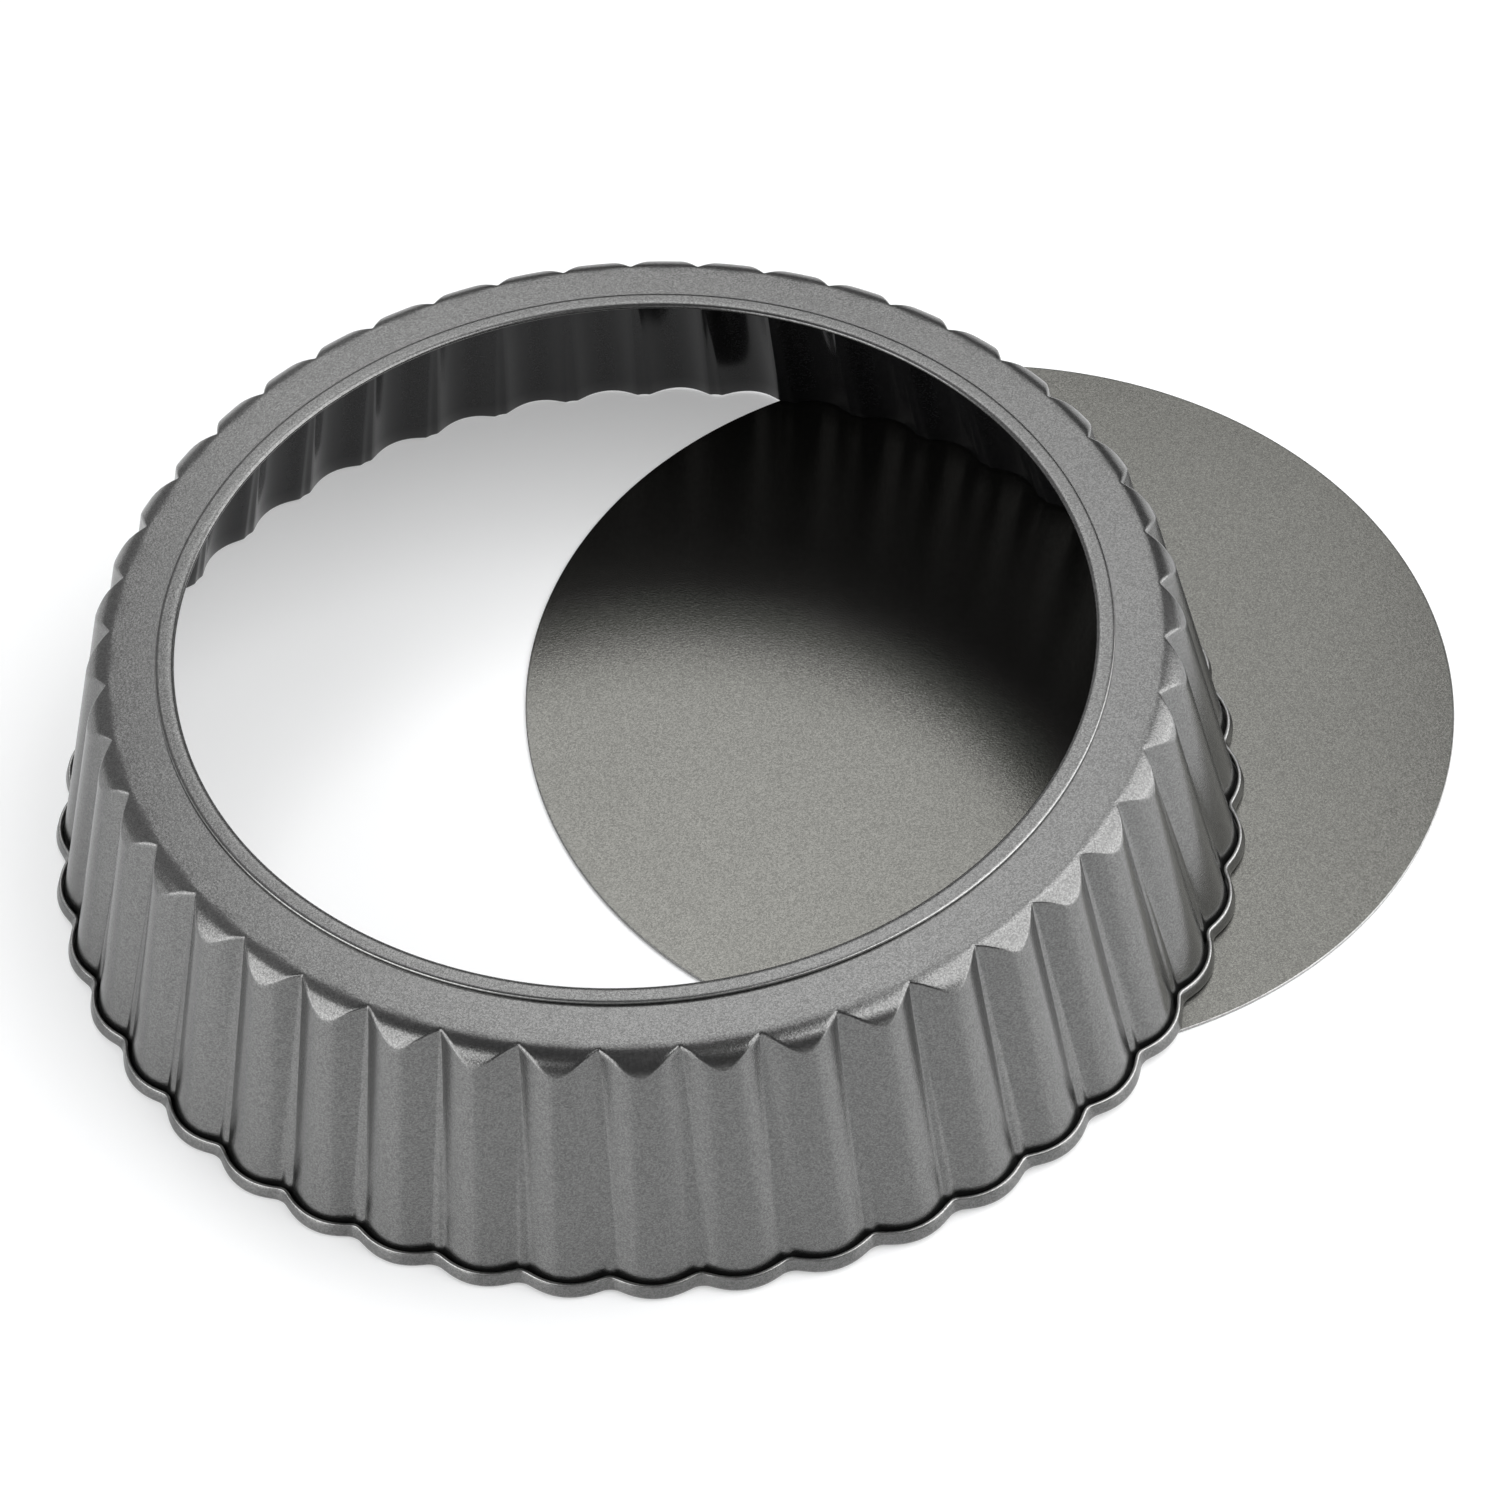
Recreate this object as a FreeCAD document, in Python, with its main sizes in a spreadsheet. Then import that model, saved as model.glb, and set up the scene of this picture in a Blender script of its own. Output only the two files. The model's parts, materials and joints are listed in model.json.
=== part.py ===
import FreeCAD, Part
import math
import os
import Sketcher

# Loose-bottom tart pan: a fluted sheet-steel ring lying upside down over the edge of its flat base.
# The origin is the centre of the base's underside, +X runs from the ring's axis to the base's axis
# and +Z is up. The ring is first built about its own axis, with its rim on the plane of zero height.

document = FreeCAD.newDocument("tart_pan")

# Driving sizes in millimetres, except for turns in degrees, counts and shares
driving_sizes = [
    ("base_radius", 100.0),
    ("base_thickness", 0.8),
    ("base_edge_round", 0.2),
    ("sheet_thickness", 0.7),
    ("ring_height", 54.8),
    ("opening_radius", 92.2),
    ("hem_width", 3.8),
    ("ledge_radius", 105.0),
    ("shoulder_radius", 5.7),
    ("shoulder_turn", 56.0),
    ("wall_ledge_radius", 109.5),
    ("wall_foot_radius", 124.1),
    ("flute_count", 45),
    ("flute_turn", 1.8),
    ("flute_depth", 3.5),
    ("foot_flute_depth", 2.2),
    ("crest_share", 0.5),
    ("valley_share", 0.25),
    ("rim_gap", 0.7),
    ("rim_height", 3.4),
    ("rim_round", 0.6),
    ("rim_lean", 0.8),
    ("rim_depth", 2.2),
    ("centre_distance", 78.2),
    ("rest_clearance", 0.05),
    ("cut_overrun", 2.0),
]

sheet = document.addObject("Spreadsheet::Sheet", "sizes")
for row, (alias, value) in enumerate(driving_sizes, start=1):
    sheet.set("A%d" % row, alias)
    sheet.set("B%d" % row, str(value))
    sheet.setAlias("B%d" % row, alias)
document.recompute()


def size(alias):
    return float(getattr(sheet, alias))


def origin_plane(body, role):
    for feature in body.Origin.OriginFeatures:
        if feature.Role == role:
            return feature
    raise ValueError("no plane " + role)


def new_sketch(body, name, role):
    sketch = body.newObject("Sketcher::SketchObject", name)
    sketch.AttachmentSupport = [(origin_plane(body, role), "")]
    sketch.MapMode = "FlatFace"
    return sketch


def close_outline(sketch):
    last = sketch.GeometryCount - 1
    for edge in range(last):
        sketch.addConstraint(Sketcher.Constraint("Coincident", edge, 2, edge + 1, 1))
    sketch.addConstraint(Sketcher.Constraint("Coincident", last, 2, 0, 1))


def pin_corner(sketch, edge, name, across, up):
    # a corner's distances from the axis and from the plane of the rim, both bound to the sheet
    corner = sketch.getPoint(edge, 1)
    for axis, expression, value in (("X", across, corner.x), ("Y", up, corner.y)):
        rule = sketch.addConstraint(Sketcher.Constraint("Distance" + axis, -1, 1, edge, 1, value))
        sketch.renameConstraint(rule, name + axis)
        sketch.setExpression("Constraints." + name + axis, expression)


def revolve_body(name, corners, arc_edge, arc_middle):
    # a solid turned about the ring's axis from corners (name, radius, height, radius and height formulas)
    body = document.addObject("PartDesign::Body", name)
    sketch = new_sketch(body, name + "_outline", "XZ_Plane")
    points = [FreeCAD.Vector(radius, height, 0) for _, radius, height, _, _ in corners]
    for edge, start in enumerate(points):
        end = points[(edge + 1) % len(points)]
        if edge == arc_edge:
            sketch.addGeometry(Part.Arc(start, FreeCAD.Vector(*arc_middle), end), False)
        else:
            sketch.addGeometry(Part.LineSegment(start, end), False)
    return body, sketch


# Levels and radii that follow from the driving sizes
ledge_level = size("ring_height") - size("sheet_thickness")
wall_slope = (size("wall_foot_radius") - size("wall_ledge_radius")) / ledge_level
depth_slope = (size("flute_depth") - size("foot_flute_depth")) / ledge_level
rim_crest_radius = size("wall_foot_radius") + size("rim_gap") + size("sheet_thickness")
overrun = size("cut_overrun")
sheet_thickness = size("sheet_thickness")


def wall_crest(height):
    return size("wall_foot_radius") - wall_slope * height


def wall_depth(height):
    return size("foot_flute_depth") + depth_slope * height


def polar(radius, angle, height):
    return FreeCAD.Vector(radius * math.cos(angle), radius * math.sin(angle), height)


def scallop(name, crest_radius, depth, height):
    # closed outline of the flutes at one level: a broad arc on each crest, a tighter arc in each
    # valley and a straight flank between them that both arcs run into
    flutes = int(size("flute_count"))
    half_pitch = math.pi / flutes
    crest_share = size("crest_share")
    valley_share = size("valley_share")
    steepness = depth / (1 - (crest_share + valley_share) / 2)
    crest_join = crest_radius - steepness * crest_share / 2
    valley_join = crest_radius - depth + steepness * valley_share / 2
    edges = []
    for flute in range(flutes):
        crest = math.radians(size("flute_turn")) + 2 * half_pitch * flute
        valley = crest + half_pitch
        arc_start = polar(crest_join, crest - crest_share * half_pitch, height)
        arc_end = polar(crest_join, crest + crest_share * half_pitch, height)
        dip_start = polar(valley_join, valley - valley_share * half_pitch, height)
        dip_end = polar(valley_join, valley + valley_share * half_pitch, height)
        next_start = polar(crest_join, crest + (2 - crest_share) * half_pitch, height)
        edges.append(Part.Arc(arc_start, polar(crest_radius, crest, height), arc_end).toShape())
        edges.append(Part.LineSegment(arc_end, dip_start).toShape())
        edges.append(Part.Arc(dip_start, polar(crest_radius - depth, valley, height), dip_end).toShape())
        edges.append(Part.LineSegment(dip_end, next_start).toShape())
    outline = document.addObject("Part::Feature", name)
    outline.Shape = Part.Wire(edges)
    return outline


def fluted_loft(name, levels):
    # straight flutes through the outlines given as (crest radius, depth, height), from the rim up
    loft = document.addObject("Part::Loft", name)
    loft.Sections = [scallop("%s_outline_%d" % (name, number), *level)
                     for number, level in enumerate(levels)]
    loft.Solid = True
    loft.Ruled = True
    return loft


def combine(kind, name, base, tool):
    result = document.addObject("Part::" + kind, name)
    result.Base = base
    result.Tool = tool
    return result


def shoulder_blank(name, drop):
    # the revolved envelope that trims the flutes: flat ledge, rounded shoulder, open skirt below;
    # drop is zero for the outside of the sheet and the sheet's thickness for its inside
    level = "(sizes.ring_height - sizes.sheet_thickness - %s)" % drop
    bend = "(sizes.shoulder_radius - %s)" % drop
    drop_value = float(sheet_thickness if drop != "0" else 0)
    bend_value = size("shoulder_radius") - drop_value
    level_value = ledge_level - drop_value
    turn = math.radians(size("shoulder_turn"))
    arc_end = (size("ledge_radius") + bend_value * math.sin(turn),
               level_value - bend_value * (1 - math.cos(turn)))
    arc_middle = (size("ledge_radius") + bend_value * math.sin(turn / 2),
                  level_value - bend_value * (1 - math.cos(turn / 2)), 0)
    reach = rim_crest_radius - size("ledge_radius")
    skirt = (arc_end[0] + reach, arc_end[1] - reach * math.tan(turn))
    arc_across = "sizes.ledge_radius + %s * sin(sizes.shoulder_turn)" % bend
    arc_up = "%s - %s * (1 - cos(sizes.shoulder_turn))" % (level, bend)
    reach_formula = "(sizes.wall_foot_radius + sizes.rim_gap + sizes.sheet_thickness - sizes.ledge_radius)"
    skirt_across = "%s + %s" % (arc_across, reach_formula)
    skirt_up = "%s - %s * tan(sizes.shoulder_turn)" % (arc_up, reach_formula)
    corners = [
        ("axis_foot", 0.0, -overrun, "0", "-sizes.cut_overrun"),
        ("skirt_foot", skirt[0], -overrun, skirt_across, "-sizes.cut_overrun"),
        ("skirt_end", skirt[0], skirt[1], skirt_across, skirt_up),
        ("shoulder_end", arc_end[0], arc_end[1], arc_across, arc_up),
        ("ledge_edge", size("ledge_radius"), level_value, "sizes.ledge_radius", level),
        ("axis_top", 0.0, level_value, "0", level),
    ]
    arc_edge = 3
    body, sketch = revolve_body(name, corners, arc_edge, arc_middle)
    close_outline(sketch)
    for edge, (corner, _, _, across, up) in enumerate(corners):
        pin_corner(sketch, edge, corner, across, up)
    rule = sketch.addConstraint(Sketcher.Constraint("Radius", arc_edge, bend_value))
    sketch.renameConstraint(rule, "shoulder_bend")
    sketch.setExpression("Constraints.shoulder_bend", bend)
    turn_round(body, sketch)
    return body


def turn_round(body, sketch):
    revolution = body.newObject("PartDesign::Revolution", body.Name + "_turn")
    revolution.Profile = sketch
    revolution.ReferenceAxis = (sketch, ["V_Axis"])
    revolution.Angle = 360


def folded_hem():
    # the sheet folded back on the ledge round the opening, with a full round nose
    nose = size("opening_radius") + sheet_thickness
    outer = size("opening_radius") + size("hem_width")
    low = ledge_level - sheet_thickness
    high = ledge_level + sheet_thickness
    nose_formula = "sizes.opening_radius + sizes.sheet_thickness"
    outer_formula = "sizes.opening_radius + sizes.hem_width"
    low_formula = "sizes.ring_height - 2 * sizes.sheet_thickness"
    corners = [
        ("nose_high", nose, high, nose_formula, "sizes.ring_height"),
        ("nose_low", nose, low, nose_formula, low_formula),
        ("raw_edge_low", outer, low, outer_formula, low_formula),
        ("raw_edge_high", outer, high, outer_formula, "sizes.ring_height"),
    ]
    body, sketch = revolve_body("hem", corners, 0, (size("opening_radius"), ledge_level, 0))
    close_outline(sketch)
    for edge, (corner, _, _, across, up) in enumerate(corners):
        pin_corner(sketch, edge, corner, across, up)
    rule = sketch.addConstraint(Sketcher.Constraint("DistanceX", -1, 1, 0, 3, nose))
    sketch.renameConstraint(rule, "nose_centre")
    sketch.setExpression("Constraints.nose_centre", nose_formula)
    turn_round(body, sketch)
    return body


# Fluted wall: the flutes' outside and inside, each trimmed by its shoulder
rim_round = size("rim_round")
above_ledge = ledge_level + overrun
outer_flutes = fluted_loft("outer_flutes", [
    (wall_crest(0), wall_depth(0), 0.0),
    (wall_crest(above_ledge), wall_depth(above_ledge), above_ledge),
])
inner_flutes = fluted_loft("inner_flutes", [
    (wall_crest(0) - sheet_thickness + rim_round, wall_depth(0), 0.0),
    (wall_crest(rim_round) - sheet_thickness, wall_depth(rim_round), rim_round),
    (wall_crest(above_ledge) - sheet_thickness, wall_depth(above_ledge), above_ledge),
])
outer_form = combine("Common", "outer_form", outer_flutes, shoulder_blank("outer_shoulder", "0"))
inner_form = combine("Common", "inner_form", inner_flutes,
                     shoulder_blank("inner_shoulder", "sizes.sheet_thickness"))

# Rolled rim: the sheet turned outward and up round the foot of the wall, leaning in towards its open top
rim_depth = size("rim_depth")
rim_height = size("rim_height")
rim_top_radius = rim_crest_radius - size("rim_lean")
rim_outside = fluted_loft("rim_outside", [
    (rim_crest_radius - rim_round, rim_depth, 0.0),
    (rim_crest_radius, rim_depth, rim_round),
    (rim_top_radius, rim_depth, rim_height),
])
rim_channel = fluted_loft("rim_channel", [
    (rim_crest_radius - sheet_thickness, rim_depth, sheet_thickness),
    (rim_top_radius - sheet_thickness, rim_depth, rim_height),
])
rolled_rim = combine("Cut", "rolled_rim", rim_outside, rim_channel)

# Ring: wall and rim together, hollowed, opened in the middle of the ledge and hemmed
solid_ring = combine("Fuse", "solid_ring", outer_form, rolled_rim)
hollow_ring = combine("Cut", "hollow_ring", solid_ring, inner_form)
opening = document.addObject("Part::Cylinder", "opening")
opening.setExpression("Radius", "sizes.opening_radius + sizes.sheet_thickness")
opening.setExpression("Height", "sizes.ring_height + sizes.cut_overrun")
open_ring = combine("Cut", "open_ring", hollow_ring, opening)
fluted_ring = combine("Fuse", "fluted_ring_solid", open_ring, folded_hem())
fluted_ring.Label = "fluted_ring"
document.recompute()

# The ring stands on the floor at its far side and on the base where the two outlines cross
contact_radius = rim_crest_radius - size("rim_gap") / 2 - sheet_thickness
cross_reach = (contact_radius ** 2 - size("base_radius") ** 2 + size("centre_distance") ** 2)
cross_reach /= 2 * size("centre_distance")
lift = size("base_thickness") + size("rest_clearance")
tilt = math.degrees(math.asin(lift / (contact_radius + cross_reach)))
far_side = FreeCAD.Vector(-size("centre_distance") - contact_radius, 0, 0)
lean = FreeCAD.Placement(FreeCAD.Vector(), FreeCAD.Rotation(FreeCAD.Vector(0, 1, 0), -tilt), far_side)
shift = FreeCAD.Placement(FreeCAD.Vector(-size("centre_distance"), 0, 0), FreeCAD.Rotation())
fluted_ring.Placement = lean.multiply(shift)

# Loose base: a plain flat disc with its cut edge just eased
loose_base = document.addObject("PartDesign::Body", "loose_base_body")
loose_base.Label = "loose_base"
base_outline = new_sketch(loose_base, "base_outline", "XY_Plane")
base_outline.addGeometry(Part.Circle(FreeCAD.Vector(), FreeCAD.Vector(0, 0, 1), size("base_radius")), False)
base_outline.addConstraint(Sketcher.Constraint("Coincident", 0, 3, -1, 1))
base_outline.addConstraint(Sketcher.Constraint("Radius", 0, size("base_radius")))
base_outline.renameConstraint(1, "disc_radius")
base_outline.setExpression("Constraints.disc_radius", "sizes.base_radius")
base_pad = loose_base.newObject("PartDesign::Pad", "base_pad")
base_pad.Profile = base_outline
base_pad.setExpression("Length", "sizes.base_thickness")
document.recompute()
base_edge = loose_base.newObject("PartDesign::Fillet", "base_edge")
base_edge.Base = (base_pad, [name for name in ("Edge1", "Edge2", "Edge3")
                             if isinstance(base_pad.Shape.getElement(name).Curve, Part.Circle)])
base_edge.setExpression("Radius", "sizes.base_edge_round")
loose_base.Tip = base_edge
document.recompute()

# Every object has to be sound, and each cut has to have taken material away
for item in document.Objects:
    if "Invalid" in item.State or "Error" in item.State:
        raise RuntimeError("failed: " + item.Name)
for before, after in ((rim_outside, rolled_rim), (solid_ring, hollow_ring), (hollow_ring, open_ring)):
    if after.Shape.Volume >= before.Shape.Volume:
        raise RuntimeError("nothing cut: " + after.Name)

os.makedirs("parts", exist_ok=True)
for piece in (fluted_ring, loose_base):
    if piece.Shape.isNull() or not piece.Shape.isValid():
        raise RuntimeError("unsound piece: " + piece.Label)
    print(piece.Label, "solids", len(piece.Shape.Solids), "volume", round(piece.Shape.Volume, 1))
    piece.Shape.exportStep("parts/%s.step" % piece.Label)
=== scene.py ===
import json
import math

import bpy
import numpy as np
from mathutils import Matrix, Vector


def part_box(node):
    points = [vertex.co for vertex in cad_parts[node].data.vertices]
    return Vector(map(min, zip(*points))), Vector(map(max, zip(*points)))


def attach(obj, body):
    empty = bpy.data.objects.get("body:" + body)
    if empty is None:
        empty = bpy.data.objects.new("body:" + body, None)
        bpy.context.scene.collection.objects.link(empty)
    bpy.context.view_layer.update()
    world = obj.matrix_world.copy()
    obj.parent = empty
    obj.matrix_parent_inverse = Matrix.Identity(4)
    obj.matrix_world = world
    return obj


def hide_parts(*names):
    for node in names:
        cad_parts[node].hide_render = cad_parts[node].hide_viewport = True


# Loose-bottom tart pan: the fluted ring stands upside down over the edge of its flat loose base.
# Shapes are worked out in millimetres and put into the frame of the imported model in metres.

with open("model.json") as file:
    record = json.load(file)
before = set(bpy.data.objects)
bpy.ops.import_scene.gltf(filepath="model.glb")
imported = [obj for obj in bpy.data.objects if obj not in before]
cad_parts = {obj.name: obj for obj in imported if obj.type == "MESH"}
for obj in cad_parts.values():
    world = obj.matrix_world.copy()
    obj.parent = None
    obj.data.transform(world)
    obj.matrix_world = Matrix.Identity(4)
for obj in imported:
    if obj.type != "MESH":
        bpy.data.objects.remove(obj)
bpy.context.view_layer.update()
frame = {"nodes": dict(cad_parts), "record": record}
millimetre = 0.001
print("frame loaded:", ", ".join(sorted(frame["nodes"])))


# Meshes from grids of points

def closedFaces(rows, columns):
    # quads of a grid whose last row meets its first and whose last column meets its first
    row = np.arange(rows)[:, None]
    column = np.arange(columns)[None, :]
    nextRow = (row + 1) % rows
    nextColumn = (column + 1) % columns
    corners = [row * columns + column, row * columns + nextColumn,
               nextRow * columns + nextColumn, nextRow * columns + column]
    return np.stack([np.broadcast_to(corner, (rows, columns)) for corner in corners], axis=-1)


def addPiece(name, points, faces, materials, materialRows=None):
    # a smooth mesh piece from points in metres, with a material index for each face if there are several
    mesh = bpy.data.meshes.new(name)
    mesh.from_pydata(points.tolist(), [], faces)
    for material in materials:
        mesh.materials.append(material)
    if materialRows is not None:
        mesh.polygons.foreach_set("material_index", materialRows)
    mesh.polygons.foreach_set("use_smooth", np.ones(len(mesh.polygons), bool))
    mesh.update()
    piece = bpy.data.objects.new(name, mesh)
    bpy.context.scene.collection.objects.link(piece)
    print(name, "has", len(points), "points and", len(faces), "faces")
    return piece


# Node helpers and the effects that the coatings share

def newMaterial(name):
    material = bpy.data.materials.new(name)
    material.use_nodes = True
    material.node_tree.nodes.clear()
    return material, material.node_tree


def addNode(tree, kind, **settings):
    node = tree.nodes.new(kind)
    for name, value in settings.items():
        setattr(node, name, value)
    return node


def addMath(tree, operation, first, second):
    # one sum: each of first and second is a socket or a number
    node = addNode(tree, "ShaderNodeMath", operation=operation)
    for socket, value in zip(node.inputs, (first, second)):
        if isinstance(value, bpy.types.NodeSocket):
            tree.links.new(value, socket)
        else:
            socket.default_value = value
    return node.outputs[0]


def buildFlakeGroup():
    # Flake is a random tone for each metal flake, Cloud a slow unevenness, Height a fine orange-peel grain
    group = bpy.data.node_groups.new("metalFlakes", "ShaderNodeTree")
    for name in ("Flakes Per Metre", "Clouds Per Metre", "Grain Per Metre"):
        group.interface.new_socket(name, in_out="INPUT", socket_type="NodeSocketFloat")
    for name in ("Flake", "Cloud", "Height"):
        group.interface.new_socket(name, in_out="OUTPUT", socket_type="NodeSocketFloat")
    source = addNode(group, "NodeGroupInput")
    result = addNode(group, "NodeGroupOutput")
    place = addNode(group, "ShaderNodeTexCoord")
    flakes = addNode(group, "ShaderNodeTexVoronoi", feature="F1")
    clouds = addNode(group, "ShaderNodeTexNoise")
    grain = addNode(group, "ShaderNodeTexNoise")
    clouds.inputs["Detail"].default_value = 3
    grain.inputs["Detail"].default_value = 1
    pairs = ((flakes, "Flakes Per Metre"), (clouds, "Clouds Per Metre"), (grain, "Grain Per Metre"))
    for texture, density in pairs:
        group.links.new(place.outputs["Object"], texture.inputs["Vector"])
        group.links.new(source.outputs[density], texture.inputs["Scale"])
    tone = addNode(group, "ShaderNodeSeparateColor")
    group.links.new(flakes.outputs["Color"], tone.inputs["Color"])
    group.links.new(tone.outputs["Red"], result.inputs["Flake"])
    group.links.new(clouds.outputs["Fac"], result.inputs["Cloud"])
    group.links.new(grain.outputs["Fac"], result.inputs["Height"])
    return group


flakeGroup = buildFlakeGroup()

outerCoat = {
    "dark": (0.106, 0.106, 0.105, 1),
    "light": (0.190, 0.190, 0.188, 1),
    "metallic": 0.96,
    "gloss": 0.5,
    "grazing": (1.0, 1.0, 1.0, 1),  # tint of what it mirrors at a grazing angle
    "roughness": 0.25,
    "roughnessSwing": 0.06,
    "flakesPerMetre": 4200,
    "cloudsPerMetre": 28,
    "grainPerMetre": 2300,
    "grainDepth": 0.00002,
    "grainStrength": 1.0,
}

baseCoat = dict(outerCoat, dark=(0.104, 0.103, 0.096, 1), light=(0.186, 0.185, 0.172, 1),
                grazing=(0.5, 0.5, 0.5, 1))

# lighter finish along the sheet's cut edges: a painted highlight standing for the light that their rounding
# catches
edgeHighlightCoat = dict(outerCoat, dark=(0.22, 0.22, 0.217, 1), light=(0.38, 0.38, 0.375, 1), roughness=0.30)

# painted shade: the pan's inside has the same coating as its outside, and this near-black, non-metal copy
# stands for the shade inside the ring
insideShadeCoat = {
    "dark": (0.007, 0.007, 0.0075, 1),
    "light": (0.018, 0.018, 0.019, 1),
    "metallic": 0.0,
    "gloss": 0.21,
    "grazing": (1.0, 1.0, 1.0, 1),
    "roughness": 0.17,
    "roughnessSwing": 0.08,
    "flakesPerMetre": 2600,
    "cloudsPerMetre": 60,
    "grainPerMetre": 1500,
    "grainDepth": 0.000003,
    "grainStrength": 1.0,
}


def coating(name, coat):
    # satin non-stick coating with metal flakes: each flake has its own tone, clouds change the roughness
    material, tree = newMaterial(name)
    flakes = addNode(tree, "ShaderNodeGroup", node_tree=flakeGroup)
    flakes.inputs["Flakes Per Metre"].default_value = coat["flakesPerMetre"]
    flakes.inputs["Clouds Per Metre"].default_value = coat["cloudsPerMetre"]
    flakes.inputs["Grain Per Metre"].default_value = coat["grainPerMetre"]
    colour = addNode(tree, "ShaderNodeMix", data_type="RGBA")
    colour.inputs["A"].default_value = coat["dark"]
    colour.inputs["B"].default_value = coat["light"]
    tree.links.new(flakes.outputs["Flake"], colour.inputs["Factor"])
    swing = addMath(tree, "MULTIPLY", flakes.outputs["Cloud"], coat["roughnessSwing"])
    roughness = addMath(tree, "ADD", swing, coat["roughness"] - coat["roughnessSwing"] / 2)
    bump = addNode(tree, "ShaderNodeBump")
    bump.inputs["Strength"].default_value = coat["grainStrength"]
    bump.inputs["Distance"].default_value = coat["grainDepth"]
    tree.links.new(flakes.outputs["Height"], bump.inputs["Height"])
    shader = addNode(tree, "ShaderNodeBsdfPrincipled")
    shader.inputs["Metallic"].default_value = coat["metallic"]
    shader.inputs["Specular IOR Level"].default_value = coat["gloss"]
    shader.inputs["Specular Tint"].default_value = coat["grazing"]
    tree.links.new(colour.outputs["Result"], shader.inputs["Base Color"])
    tree.links.new(roughness, shader.inputs["Roughness"])
    tree.links.new(bump.outputs["Normal"], shader.inputs["Normal"])
    output = addNode(tree, "ShaderNodeOutputMaterial")
    tree.links.new(shader.outputs["BSDF"], output.inputs["Surface"])
    return material


ringOutside = coating("ring_outside_coat", outerCoat)
ringInsideShade = coating("ring_inside_painted_shade", insideShadeCoat)
baseFinish = coating("base_coat", baseCoat)
edgeHighlightFinish = coating("cut_edge_painted_highlight", edgeHighlightCoat)
print("coatings made")


# Fluted ring: one pressed sheet, from the hem round the opening to the rolled rim

ringSizes = {                     # millimetres and degrees
    "height": 54.8,
    "sheet": 0.7,
    "openingRadius": 92.2,
    "hemWidth": 3.8,
    "hemLift": 0.03,              # the hem just clears the ledge, which leaves a dark line
    "noseReach": 1.3,             # the fold round the opening is flatter than a half circle
    "ledgeRadius": 105.0,
    "shoulderRadius": 5.7,
    "shoulderTurn": 56.0,
    "crestBlend": 0.10,           # rounding where the shoulder meets the flutes, on a crest and in a valley
    "valleyBlend": 0.35,
    "wallLedgeRadius": 109.5,
    "wallFootRadius": 124.1,
    "fluteCount": 45,
    "fluteTurn": 1.8,
    "fluteDepth": 3.5,
    "footFluteDepth": 2.2,
    "stripHeight": 0.22,          # slightly raised strip down the middle of each valley
    "rimGap": 0.7,
    "rimHeight": 3.4,
    "rimRound": 0.6,
    "rimLean": 1.05,              # the open edge stands a little closer to the wall than in the solid
    "rimDepth": 2.2,
    "edgeRound": 0.20,            # how far the cut edges of the sheet bulge
}

ringShares = {
    "ledgeCrest": 0.62,           # part of half a flute that bends over the crest
    "footCrest": 0.62,
    "stripTip": 0.97,             # how high up the wall the strip in a valley starts as a point
    "stripTop": 0.03,             # half width of the strip in half flutes, at its tip and at the foot
    "stripFoot": 0.16,
    "stripStart": 0.66,           # how high up the wall the strip starts to rise, and where it has risen
    "stripFull": 0.25,
    "rimFootCrest": 0.64,
    "rimEdgeCrest": 0.74,
    "rimFootValley": 0.18,
    "rimEdgeValley": 0.11,
}

ringGrid = {
    "halfFluteColumns": 10,
    "flankColumns": 7,            # columns from the crest's middle to the strip's border
    "creaseShare": 0.11,          # half width of the crease along that border, as a part of the strip's
    "pivotRadius": 98.0,          # the shoulder is found along rays from this point inside the sheet
    "pivotHeight": 44.0,
    "ledgeRay": 90.0,
    "bendRay": 56.0,
    "lowRay": 15.0,
    "wallRay": -20.0,
    "longestRay": 60.0,
    "halvings": 36,
    "settlings": 3,               # rounds in which the columns find the strip's width at their height
    "footSupport": 0.008,         # a row this part of the wall above the bend keeps its shading straight
    "edgeCrowding": 1.8,          # rows stand closer together at the edge between shoulder and flutes
    "bulgeTurns": (40, 90, 140),  # rows round a cut edge, in degrees
}

# points from end to end of each section of the sheet
sectionPoints = {
    "hem": 5,
    "nose": 13,
    "ledge": 4,
    "toBend": 5,
    "toEdge": 13,
    "toWall": 14,
    "wall": 9,
    "bend": 10,
    "rim": 4,
}

# rows that each side of the sheet keeps in hem, nose, ledge, shoulder, wall, bend and rim: 1 is every row,
# 2 every second one
innerSteps = (1, 1, 1, 2, 2, 1, 1)
outerSteps = (3, 6, 1, 1, 1, 3, 1)

# the cut edges' material is a painted highlight
edgeHighlightIndex = 2               # place of the cut edges' finish among the ring's materials
ledgeLevel = ringSizes["height"] - ringSizes["sheet"]
halfSheet = ringSizes["sheet"] / 2


def fluteWave(phase, crestShare, valleyShare):
    # 0 on a crest, 1 in a valley: a parabola over each crest and valley and a straight flank between them
    away = np.abs((phase + 0.5) % 1 - 0.5) * 2
    steepness = 1 / (1 - (crestShare + valleyShare) / 2)
    crest = steepness * away ** 2 / (2 * crestShare)
    flank = steepness * (away - crestShare / 2)
    valley = 1 - steepness * (1 - away) ** 2 / (2 * valleyShare)
    return np.where(away < crestShare, crest, np.where(away > 1 - valleyShare, valley, flank))


def between(low, high, share):
    return low + (high - low) * share


def stripBorder(rise):
    # half width of the strip in a valley: a point at the shoulder, wider with the root of the way down
    down = np.clip(1 - rise / ringShares["stripTip"], 0, 1)
    return between(ringShares["stripTop"], ringShares["stripFoot"], np.sqrt(down))


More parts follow.
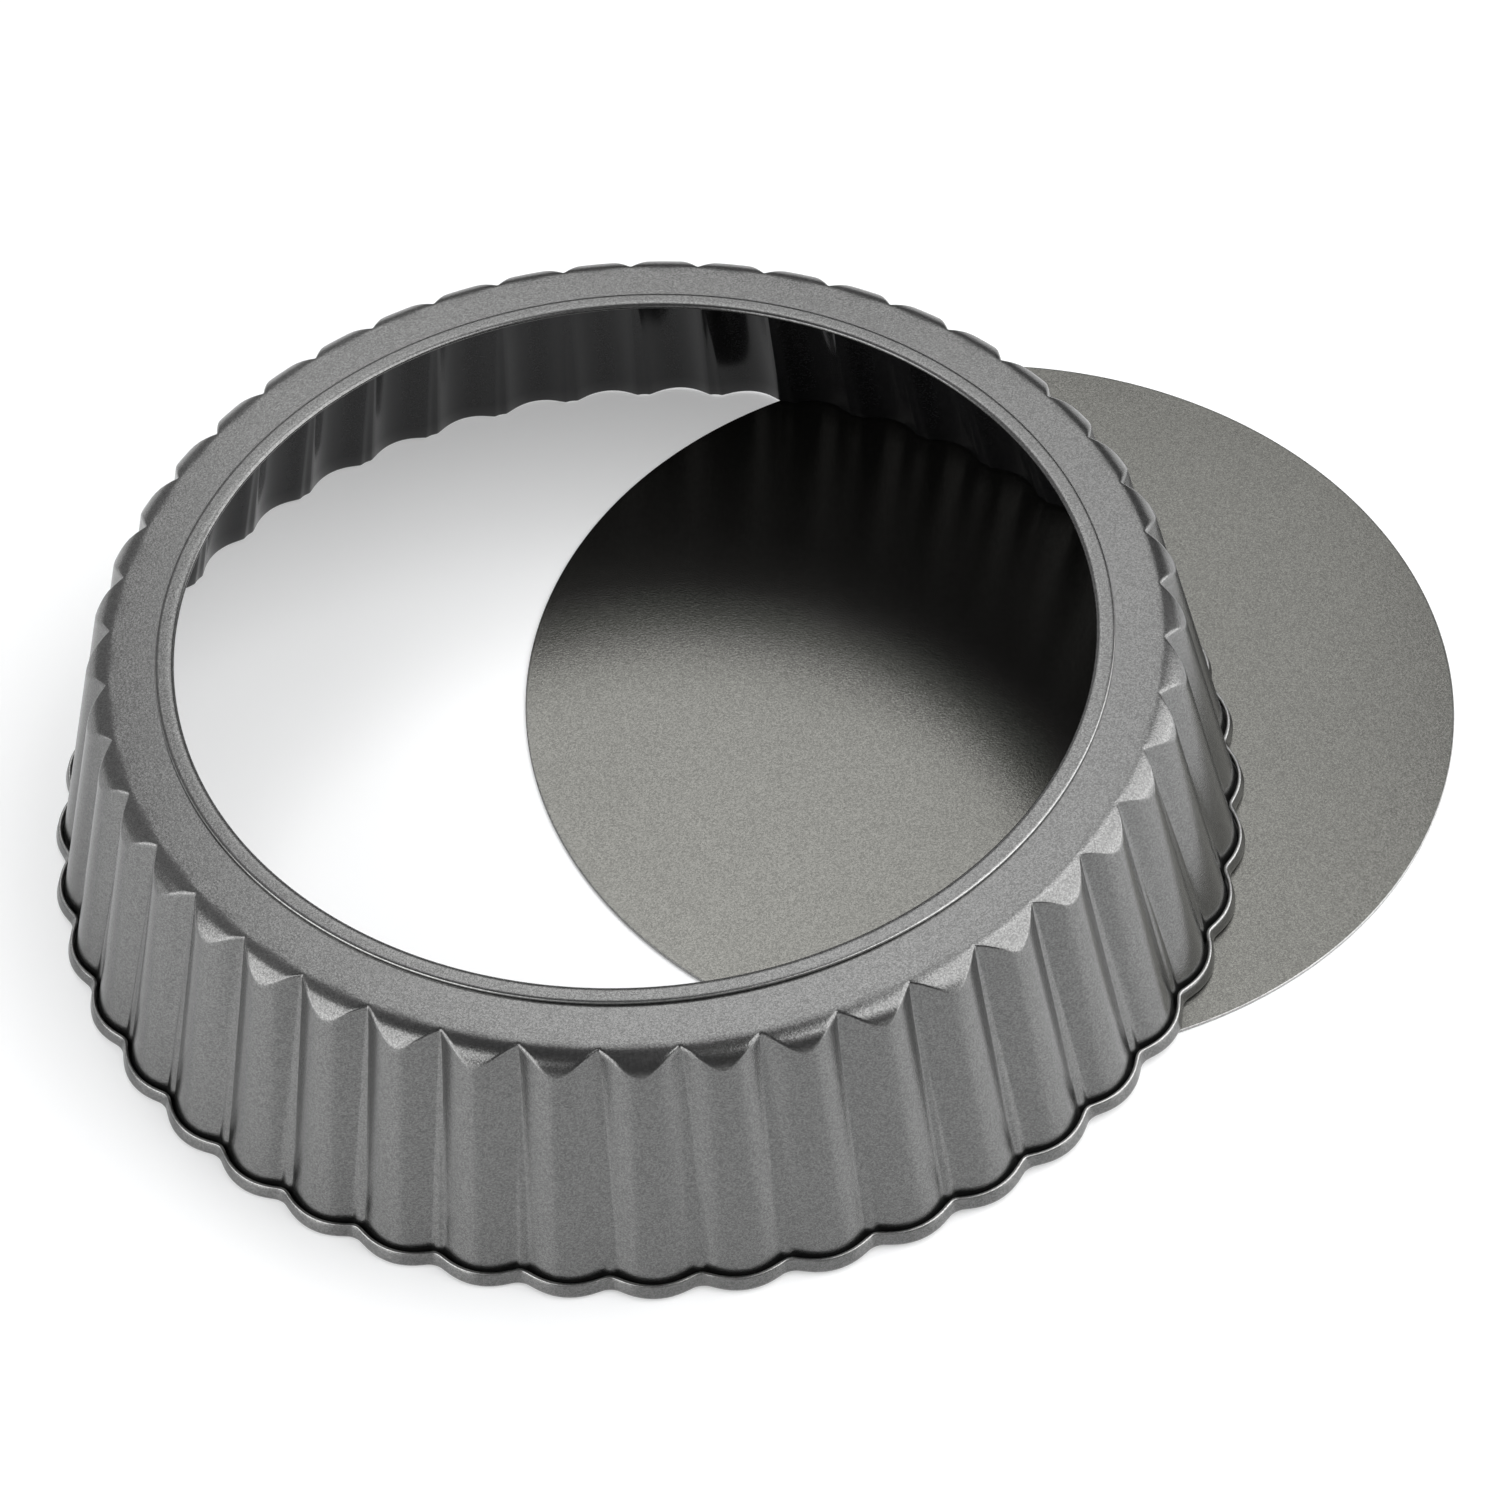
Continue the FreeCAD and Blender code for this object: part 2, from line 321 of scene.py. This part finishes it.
def wallWave(phase, rise):
    # 0 on a crest, 1 on the strip in a valley: a parabola over the crest, then a straight flank to a crease
    away = np.abs((phase + 0.5) % 1 - 0.5) * 2
    crestShare = between(ringShares["footCrest"], ringShares["ledgeCrest"], np.clip(rise, 0, 1))
    steepness = 1 / (1 - stripBorder(rise) - crestShare / 2)
    crest = steepness * away ** 2 / (2 * crestShare)
    flank = steepness * (away - crestShare / 2)
    return np.where(away < crestShare, crest, np.minimum(flank, 1))


def wallRadius(phase, height):
    # outside of the fluted wall: a cone, less the flutes' depth times their wave, plus the strip's crown
    rise = height / ledgeLevel
    crest = between(ringSizes["wallFootRadius"], ringSizes["wallLedgeRadius"], rise)
    depth = between(ringSizes["footFluteDepth"], ringSizes["fluteDepth"], rise)
    growth = (ringShares["stripStart"] - rise) / (ringShares["stripStart"] - ringShares["stripFull"])
    offValley = 1 - np.abs((phase + 0.5) % 1 - 0.5) * 2
    crown = np.clip(1 - (offValley / stripBorder(rise)) ** 2, 0, 1)
    raised = ringSizes["stripHeight"] * np.clip(growth, 0, 1) * crown
    return crest - depth * wallWave(phase, rise) + raised


def columnPhase(rise):
    # where a row's columns stand: two beside each border of the strip, the others evenly between them
    half = ringGrid["halfFluteColumns"]
    flank = ringGrid["flankColumns"]
    column = np.arange(2 * half)
    step = np.minimum(column, 2 * half - column)
    border = stripBorder(rise)
    crease = border * ringGrid["creaseShare"]
    onFlank = step / flank * (1 - border - crease)
    onStrip = 1 - (half - step) / (half - flank - 1) * (border - crease)
    away = np.where(step > flank, onStrip, onFlank)
    oneFlute = np.where(column > half, 1 - away / 2, away / 2)
    flutes = np.arange(ringSizes["fluteCount"])[:, None]
    return (oneFlute[:, None, :] + flutes).reshape(len(oneFlute), -1)


def rimRadius(phase, height):
    # outside of the rolled rim: the crest radius leaning in towards the top, less its own wave
    straight = ringSizes["rimHeight"] - ringSizes["rimRound"]
    rise = np.clip((height - ringSizes["rimRound"]) / straight, 0, 1)
    crest = ringSizes["wallFootRadius"] + ringSizes["rimGap"] + ringSizes["sheet"]
    crestShare = between(ringShares["rimFootCrest"], ringShares["rimEdgeCrest"], rise)
    valleyShare = between(ringShares["rimFootValley"], ringShares["rimEdgeValley"], rise)
    wave = fluteWave(phase, crestShare, valleyShare)
    return crest - ringSizes["rimLean"] * rise - ringSizes["rimDepth"] * wave


def outsideOf(phase, radius, height):
    # how far a point lies outside the sheet: the smooth maximum of its distances to shoulder and wall
    overRadius = radius - ringSizes["ledgeRadius"]
    overHeight = height - ledgeLevel + ringSizes["shoulderRadius"]
    turn = np.clip(np.arctan2(overRadius, overHeight), 0, math.radians(ringSizes["shoulderTurn"]))
    shoulder = overRadius * np.sin(turn) + overHeight * np.cos(turn) - ringSizes["shoulderRadius"]
    wall = radius - wallRadius(phase, height)
    wave = wallWave(phase, height / ledgeLevel)
    blend = between(ringSizes["crestBlend"], ringSizes["valleyBlend"], np.sqrt(wave))
    nearness = np.clip(blend - np.abs(shoulder - wall), 0, None)
    return np.maximum(shoulder, wall) + nearness ** 2 / (4 * blend), shoulder - wall


def alongRays(phase, ray):
    # the middle of the sheet along rays at an angle above the level, found by halving the interval
    near = np.zeros_like(ray)
    far = np.full_like(ray, ringGrid["longestRay"])
    for _ in range(ringGrid["halvings"]):
        reach = (near + far) / 2
        radius = ringGrid["pivotRadius"] + reach * np.cos(ray)
        height = ringGrid["pivotHeight"] + reach * np.sin(ray)
        distance, lead = outsideOf(phase, radius, height)
        inside = distance < -halfSheet
        near = np.where(inside, reach, near)
        far = np.where(inside, far, reach)
    return radius, height, lead


def edgeRays(phase):
    # the ray in each column that meets the edge where the shoulder runs into the flutes
    low = np.full_like(phase, math.radians(ringGrid["lowRay"]))
    high = np.full_like(phase, math.radians(ringGrid["bendRay"]))
    for _ in range(ringGrid["halvings"]):
        middle = (low + high) / 2
        onShoulder = alongRays(phase, middle)[2] > 0
        high = np.where(onShoulder, middle, high)
        low = np.where(onShoulder, low, middle)
    return (low + high) / 2


def sheetSections():
    # the middle of the sheet as phase, radius and height, section by section from the hem to the open edge
    topPhase = columnPhase(np.ones((1, 1)))
    steady = np.ones_like(topPhase)
    lift = ringSizes["hemLift"]
    noseReach = ringSizes["noseReach"] - halfSheet
    noseCentre = ringSizes["openingRadius"] + ringSizes["noseReach"]
    hemEnd = ringSizes["openingRadius"] + ringSizes["hemWidth"] - ringSizes["edgeRound"]
    hemRadius = np.linspace(hemEnd, noseCentre, sectionPoints["hem"])[:-1, None] * steady
    hem = topPhase, hemRadius, np.full_like(hemRadius, ledgeLevel + halfSheet + lift)

    turn = np.linspace(math.pi / 2, math.pi * 3 / 2, sectionPoints["nose"])[:, None] * steady
    noseLevel = ledgeLevel + lift / 2
    noseRadius = halfSheet + lift / 2
    nose = topPhase, noseCentre + noseReach * np.cos(turn), noseLevel + noseRadius * np.sin(turn)

    flat = np.linspace(noseCentre, ringGrid["pivotRadius"], sectionPoints["ledge"])[1:-1, None] * steady
    ledge = topPhase, flat, np.full_like(flat, ledgeLevel - halfSheet)

    edge = edgeRays(topPhase)
    ledgeRay = math.radians(ringGrid["ledgeRay"])
    bendRay = math.radians(ringGrid["bendRay"])
    wallRay = math.radians(ringGrid["wallRay"])
    crowding = ringGrid["edgeCrowding"]
    toBend = np.linspace(ledgeRay, bendRay, sectionPoints["toBend"])[:-1, None] * steady
    share = np.linspace(0, 1, sectionPoints["toEdge"])[:-1, None]
    toEdge = between(bendRay, edge, 1 - (1 - share) ** crowding)
    share = np.linspace(0, 1, sectionPoints["toWall"])[:, None]
    toWall = between(edge, wallRay, share ** crowding)
    rays = np.concatenate([toBend, toEdge, toWall])
    phase = topPhase * np.ones_like(rays)
    for _ in range(ringGrid["settlings"]):
        radius, height, _ = alongRays(phase, rays)
        phase = columnPhase(height[:, ringGrid["halfFluteColumns"], None] / ledgeLevel)
    radius, height, _ = alongRays(phase, rays)
    shoulder = phase, radius, height

    bendRadius = halfSheet + ringSizes["rimGap"] / 2
    foot = halfSheet + bendRadius
    share = np.linspace(0, 1, sectionPoints["wall"])[1:-1]
    share = np.append(share, [1 - ringGrid["footSupport"], 1])
    down = between(height[-1], foot, share[:, None] * steady)
    phase = columnPhase(down[:, ringGrid["halfFluteColumns"], None] / ledgeLevel)
    wall = phase, wallRadius(phase, down) - halfSheet, down

    turn = np.linspace(0, math.pi, sectionPoints["bend"])[1:, None] * steady
    share = (1 - np.cos(turn)) / 2
    low = foot - bendRadius * np.sin(turn)
    phase = phase[-1:]
    bend = phase, between(wallRadius(phase, low), rimRadius(phase, low), share) - halfSheet, low

    rimTop = ringSizes["rimHeight"] - ringSizes["edgeRound"]
    up = np.linspace(foot, rimTop, sectionPoints["rim"])[1:, None] * steady
    rim = phase, rimRadius(phase, up) - halfSheet, up
    return hem, nose, ledge, shoulder, wall, bend, rim


def directions(points, axis, wraps):
    # unit tangents along one axis of the grid, weighted so that uneven spacing doesn't turn them
    if wraps:
        ahead = np.roll(points, -1, axis) - points
        behind = points - np.roll(points, 1, axis)
    else:
        steps = np.diff(points, axis=axis)
        ahead = np.concatenate([steps, steps[-1:]])
        behind = np.concatenate([steps[:1], steps])
    aheadLength = np.linalg.norm(ahead, axis=-1, keepdims=True)
    behindLength = np.linalg.norm(behind, axis=-1, keepdims=True)
    mean = ahead / aheadLength * behindLength + behind / behindLength * aheadLength
    return mean / np.linalg.norm(mean, axis=-1, keepdims=True)


def ringPoints():
    # the sheet's middle, pushed half its thickness to each side and closed by rounded cut edges
    sections = sheetSections()
    phase = np.concatenate([section[0] * np.ones_like(section[1]) for section in sections])
    radius = np.concatenate([section[1] for section in sections])
    height = np.concatenate([section[2] for section in sections])
    angle = 2 * math.pi * phase / ringSizes["fluteCount"] + math.radians(ringSizes["fluteTurn"])
    middle = np.stack([radius * np.cos(angle), radius * np.sin(angle), height], axis=-1)
    along = directions(middle, 0, False)
    normal = np.cross(directions(middle, 1, True), along)
    normal /= np.linalg.norm(normal, axis=-1, keepdims=True)

    starts = np.cumsum([0] + [len(section[1]) for section in sections])
    last = starts[-1] - 1

    def keptRows(steps):
        kept = [np.arange(start, end, step) for start, end, step in zip(starts, starts[1:], steps)]
        return np.unique(np.concatenate(kept + [[last]]))

    innerRows = keptRows(innerSteps)
    outerRows = keptRows(outerSteps)[::-1]
    bulge = np.radians(ringGrid["bulgeTurns"])[:, None, None]
    reach = ringSizes["edgeRound"] * np.sin(bulge)
    lean = halfSheet * np.cos(bulge)
    rimEdge = middle[-1] + lean * normal[-1] + reach * along[-1]
    hemEdge = middle[0] - lean * normal[0] - reach * along[0]
    points = np.concatenate([middle[innerRows] + halfSheet * normal[innerRows], rimEdge,
                             middle[outerRows] - halfSheet * normal[outerRows], hemEdge])

    # rows between the nose's underside and the foot of the bend show the pan's inside, which takes the
    # near-black painted shade
    insideStart = starts[2]
    insideEnd = (starts[5] + starts[6]) // 2
    isInside = (innerRows >= insideStart) & (innerRows < insideEnd)
    rowMaterialIndex = np.zeros(len(points), int)
    rowMaterialIndex[:len(innerRows)] = isInside
    # the rounded cut edges at both ends of the sheet take the painted highlight
    rowMaterialIndex[len(innerRows) - 1:len(innerRows) + len(bulge)] = edgeHighlightIndex
    rowMaterialIndex[-1 - len(bulge):] = edgeHighlightIndex
    return points, rowMaterialIndex


def ringPlace():
    # the leaning ring's centre on its rim plane and its three directions, from the mount on its hem
    mount = next(m for m in frame["record"]["mounts"] if m["name"] == "ring_foot")
    up = np.array(mount["axis"])
    up /= np.linalg.norm(up)
    across = np.array([up[2], 0, -up[0]])
    side = np.cross(up, across)
    centre = np.array([mount["pos_m"][0], 0, mount["pos_m"][2]])
    return centre - up * ringSizes["height"] * millimetre, np.stack([across, side, up])


def makeRing():
    # the sheet, leaning as the imported ring does, with its coating, the painted shade inside and the
    # painted highlight on the cut edges, row by row
    points, rowMaterialIndex = ringPoints()
    rows, columns = points.shape[:2]
    centre, axes = ringPlace()
    points = (points * millimetre) @ axes + centre
    faces = closedFaces(rows, columns)
    materialRows = np.repeat(rowMaterialIndex, columns)
    ring = addPiece("fluted_ring_sheet", points.reshape(-1, 3), faces.reshape(-1, 4).tolist(),
                    [ringOutside, ringInsideShade, edgeHighlightFinish], materialRows)
    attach(ring, "ring")
    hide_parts("fluted_ring")


makeRing()


# Loose base: a flat disc whose cut edge is eased

baseSizes = {                     # millimetres
    "edgeRound": 0.2,
    "support": 0.3,               # a ring of points just inside the rounding keeps the face flat
    "faceRings": (0.25, 0.5, 0.75, 1),
    "roundPoints": 6,
    "columns": 900,
}


def makeBase():
    # a profile turned about the axis: underside centre, rounded cut edge, top centre
    low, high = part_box("loose_base")
    radius = (high.y - low.y) / 2 / millimetre
    thickness = (high.z - low.z) / millimetre
    ease = baseSizes["edgeRound"]
    turn = np.linspace(0, math.pi / 2, baseSizes["roundPoints"])
    rounding = np.concatenate([turn - math.pi / 2, turn])
    level = np.concatenate([np.full(len(turn), ease), np.full(len(turn), thickness - ease)])
    rims = np.array(baseSizes["faceRings"]) * (radius - ease - baseSizes["support"])
    outline = np.concatenate([rims, radius - ease + ease * np.cos(rounding), rims[::-1]])
    heights = np.concatenate([np.zeros(len(rims)), level + ease * np.sin(rounding),
                              np.full(len(rims), thickness)])
    columns = baseSizes["columns"]
    angle = np.linspace(0, 2 * math.pi, columns, endpoint=False)
    points = np.stack([outline[:, None] * np.cos(angle), outline[:, None] * np.sin(angle),
                       heights[:, None] * np.ones(columns)], axis=-1)
    rows = len(outline)
    sides = closedFaces(rows, columns)[:-1].reshape(-1, 4).tolist()
    poles = np.array([[0, 0, 0], [0, 0, thickness]])
    points = np.concatenate([points.reshape(-1, 3), poles])
    first = np.arange(columns)
    second = (first + 1) % columns
    under = np.stack([np.full(columns, rows * columns), second, first], axis=-1)
    topRow = (rows - 1) * columns
    over = np.stack([np.full(columns, rows * columns + 1), topRow + first, topRow + second], axis=-1)
    faces = sides + under.tolist() + over.tolist()
    # the base's rounded cut edge takes the painted highlight, its faces the base's own coating
    onEdge = np.repeat(np.diff(heights) > 0, columns)
    materialRows = np.concatenate([onEdge.astype(int), np.zeros(2 * columns, int)])
    centre = np.array([(low.x + high.x) / 2, (low.y + high.y) / 2, low.z])
    base = addPiece("loose_base_plate", points * millimetre + centre, faces,
                    [baseFinish, edgeHighlightFinish], materialRows)
    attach(base, "base")
    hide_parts("loose_base")


makeBase()


# Floor, light and camera

stageSettings = {
    "floorReach": 4.0,
    "floorColour": (0.70, 0.705, 0.71, 1),
    "floorRoughness": 0.3,
    "floorGloss": 1.0,
    "floorGlow": 0.30,            # lifts the floor to white round the object, and keeps its shadows
    "whiteStart": 0.5,            # the glow grows between these distances in metres, to full white
    "whiteFull": 1.3,
    "worldColour": (0.97, 0.985, 1.0, 1),
    "worldStrength": 0.12,
    "backdropRise": 12.0,         # degrees above the level up to which the background is white
}

lamps = {
    # soft boxes round the pan: bearing and rise in degrees, distance, width and height in metres, watts
    "rightSoftbox": (336, 36, 1.0, 1.35, 1.62, 21.8),
    "leftSoftbox": (193, 24, 0.9, 0.84, 0.80, 6.2),
    "backSoftbox": (68, 48, 1.6, 0.9, 0.60, 3.2),
    "topSoftbox": (48, 66, 1.5, 1.1, 0.50, 2.4),
    "farSoftbox": (120, 42, 2.2, 3.2, 2.2, 7.9),
}
lampTarget = (-0.05, 0, 0.03)

cameraSettings = {
    "place": (-0.22498, -0.47226, 0.58523),
    "right": (0.9278, -0.3718, -0.0310),
    "up": (0.3005, 0.6954, 0.6528),
    "lens": 86.78,
    "sensor": 36.0,
}


def backgroundRays(tree):
    # 1 for the rays that see the background: from the camera, off a gloss or through glass
    path = addNode(tree, "ShaderNodeLightPath")
    mirrored = addMath(tree, "MAXIMUM", path.outputs["Is Glossy Ray"], path.outputs["Is Transmission Ray"])
    return addMath(tree, "MAXIMUM", path.outputs["Is Camera Ray"], mirrored)


def makeFloor():
    # pale and lit round the object, white by its own glow farther out, where the lamps don't reach
    reach = stageSettings["floorReach"]
    mesh = bpy.data.meshes.new("floor")
    corners = [(-reach, -reach, 0), (reach, -reach, 0), (reach, reach, 0), (-reach, reach, 0)]
    mesh.from_pydata(corners, [], [(0, 1, 2, 3)])
    floor = bpy.data.objects.new("floor", mesh)
    bpy.context.scene.collection.objects.link(floor)
    material, tree = newMaterial("plain_floor")
    satin = addNode(tree, "ShaderNodeBsdfPrincipled")
    satin.inputs["Base Color"].default_value = stageSettings["floorColour"]
    satin.inputs["Roughness"].default_value = stageSettings["floorRoughness"]
    satin.inputs["Specular IOR Level"].default_value = stageSettings["floorGloss"]
    glow = addNode(tree, "ShaderNodeEmission")
    place = addNode(tree, "ShaderNodeTexCoord")
    away = addNode(tree, "ShaderNodeVectorMath", operation="LENGTH")
    tree.links.new(place.outputs["Object"], away.inputs[0])
    growth = addNode(tree, "ShaderNodeMapRange", interpolation_type="SMOOTHSTEP")
    growth.inputs["From Min"].default_value = stageSettings["whiteStart"]
    growth.inputs["From Max"].default_value = stageSettings["whiteFull"]
    growth.inputs["To Min"].default_value = stageSettings["floorGlow"]
    tree.links.new(away.outputs["Value"], growth.inputs["Value"])
    strength = addMath(tree, "MULTIPLY", backgroundRays(tree), growth.outputs["Result"])
    tree.links.new(strength, glow.inputs["Strength"])
    total = addNode(tree, "ShaderNodeAddShader")
    tree.links.new(satin.outputs[0], total.inputs[0])
    tree.links.new(glow.outputs[0], total.inputs[1])
    output = addNode(tree, "ShaderNodeOutputMaterial")
    tree.links.new(total.outputs[0], output.inputs["Surface"])
    mesh.materials.append(material)


def makeWorld():
    # a faint even light, and a white backdrop round the horizon that the camera, metal and glass all see
    world = bpy.data.worlds.new("studio")
    bpy.context.scene.world = world
    world.use_nodes = True
    tree = world.node_tree
    tree.nodes.clear()
    light = addNode(tree, "ShaderNodeBackground")
    light.inputs["Color"].default_value = stageSettings["worldColour"]
    light.inputs["Strength"].default_value = stageSettings["worldStrength"]
    white = addNode(tree, "ShaderNodeBackground")
    white.inputs["Color"].default_value = (1, 1, 1, 1)
    direction = addNode(tree, "ShaderNodeTexCoord")
    parts = addNode(tree, "ShaderNodeSeparateXYZ")
    tree.links.new(direction.outputs["Generated"], parts.inputs["Vector"])
    backdropTop = math.sin(math.radians(stageSettings["backdropRise"]))
    low = addMath(tree, "LESS_THAN", parts.outputs["Z"], backdropTop)
    shown = addMath(tree, "MULTIPLY", backgroundRays(tree), low)
    chosen = addNode(tree, "ShaderNodeMixShader")
    tree.links.new(shown, chosen.inputs["Fac"])
    tree.links.new(light.outputs[0], chosen.inputs[1])
    tree.links.new(white.outputs[0], chosen.inputs[2])
    output = addNode(tree, "ShaderNodeOutputWorld")
    tree.links.new(chosen.outputs[0], output.inputs["Surface"])


def makeLamps():
    # each soft box hangs at its bearing and rise from the target and faces it
    target = Vector(lampTarget)
    for name, (bearing, rise, distance, width, height, watts) in lamps.items():
        turned = math.radians(bearing)
        raised = math.radians(rise)
        level = math.cos(raised)
        away = Vector((math.cos(turned) * level, math.sin(turned) * level, math.sin(raised)))
        light = bpy.data.lights.new(name, "AREA")
        light.shape = "RECTANGLE"
        light.size = width
        light.size_y = height
        light.energy = watts
        lamp = bpy.data.objects.new(name, light)
        lamp.location = target + away * distance
        lamp.rotation_euler = (-away).to_track_quat("-Z", "Y").to_euler()
        bpy.context.scene.collection.objects.link(lamp)


def makeCamera():
    # from the side and the height that the photograph was taken from
    data = bpy.data.cameras.new("camera")
    data.lens = cameraSettings["lens"]
    data.sensor_width = cameraSettings["sensor"]
    camera = bpy.data.objects.new("camera", data)
    right = Vector(cameraSettings["right"]).normalized()
    up = Vector(cameraSettings["up"])
    up = (up - right * up.dot(right)).normalized()
    turned = Matrix((right, up, right.cross(up))).transposed()
    camera.matrix_world = Matrix.Translation(cameraSettings["place"]) @ turned.to_4x4()
    bpy.context.scene.collection.objects.link(camera)
    bpy.context.scene.camera = camera


makeFloor()
makeWorld()
makeLamps()
makeCamera()
bpy.context.scene.view_settings.view_transform = "Standard"
print("floor, lamps and camera placed")
